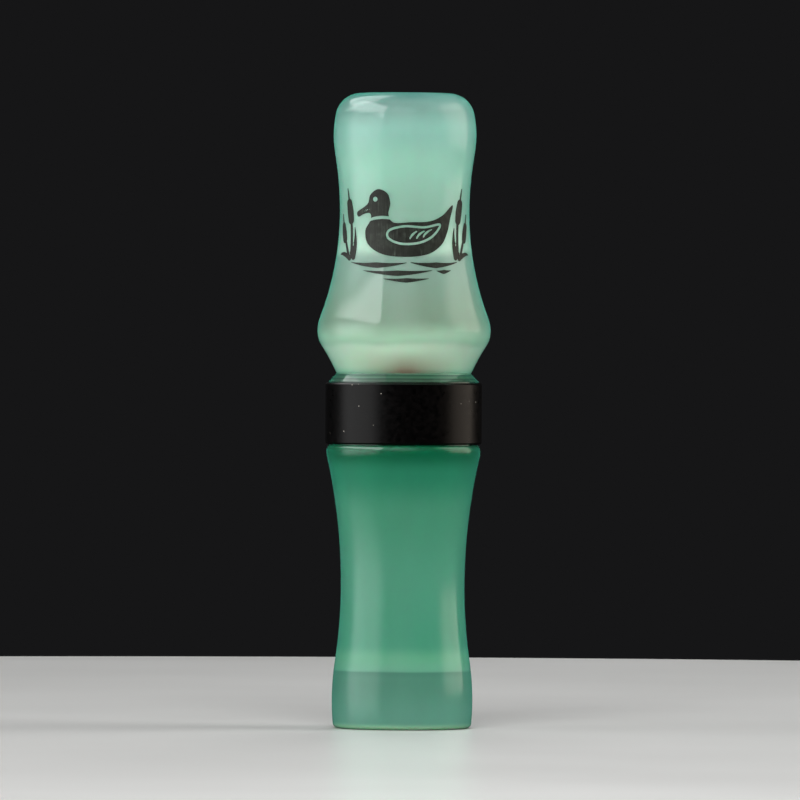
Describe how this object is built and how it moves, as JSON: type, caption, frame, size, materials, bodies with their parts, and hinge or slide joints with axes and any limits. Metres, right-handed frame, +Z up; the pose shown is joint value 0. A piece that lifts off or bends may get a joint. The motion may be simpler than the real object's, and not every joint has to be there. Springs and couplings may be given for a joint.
{
  "type": "duck call",
  "caption": "Turned acrylic double-reed duck call: waisted barrel with a black metal band, and a flared insert whose tone board, reeds and cork wedge sit inside on O-rings.",
  "frame": {"origin": "centre of the mouthpiece's flat end, on which the call stands", "axes": "+Z runs up the call's axis from the mouthpiece to the sound outlet; -Y is the front, the side of the tone board that carries the reeds"},
  "size_m": [0.0381, 0.038, 0.1396],
  "materials": {
    "insert_acrylic": "polished, translucent pearl mint",
    "barrel_acrylic": "polished, translucent pearl jade",
    "band_metal": "satin, anodised black",
    "seal_rubber": "matt, lightly greased",
    "reed_film": "clear polyester film, lightly frosted",
    "wedge_cork": "fine-grained cork"
  },
  "bodies": {
    "barrel": {"barrel": "barrel_acrylic", "band": "band_metal"},
    "seals": {"rear_o_ring": "seal_rubber", "front_o_ring": "seal_rubber"},
    "insert": {"insert": "insert_acrylic"},
    "wedge": {"wedge_cork": "wedge_cork"},
    "reeds": {"lower_reed": "reed_film", "upper_reed": "reed_film"}
  },
  "joints": [
    {"name": "insert_pull", "type": "slide", "parent": "barrel", "child": "seals", "axis": [0, 0, 1], "range_m": [0, 0.075]},
    {"name": "insert_turn", "type": "hinge", "parent": "seals", "child": "insert", "pos_m": [0, 0, 0.078], "axis": [0, 0, 1], "continuous": true},
    {"name": "wedge_pull", "type": "slide", "parent": "insert", "child": "wedge", "axis": [0, 0, -1], "range_m": [0, 0.004]},
    {"name": "reed_flex", "type": "hinge", "parent": "wedge", "child": "reeds", "pos_m": [0, -0.00148, 0.0549], "axis": [1, 0, 0], "range_deg": [-1.5, 2], "stiffness_Nm_per_rad": 0.01, "deforming": ["lower_reed", "upper_reed"]}
  ]
}
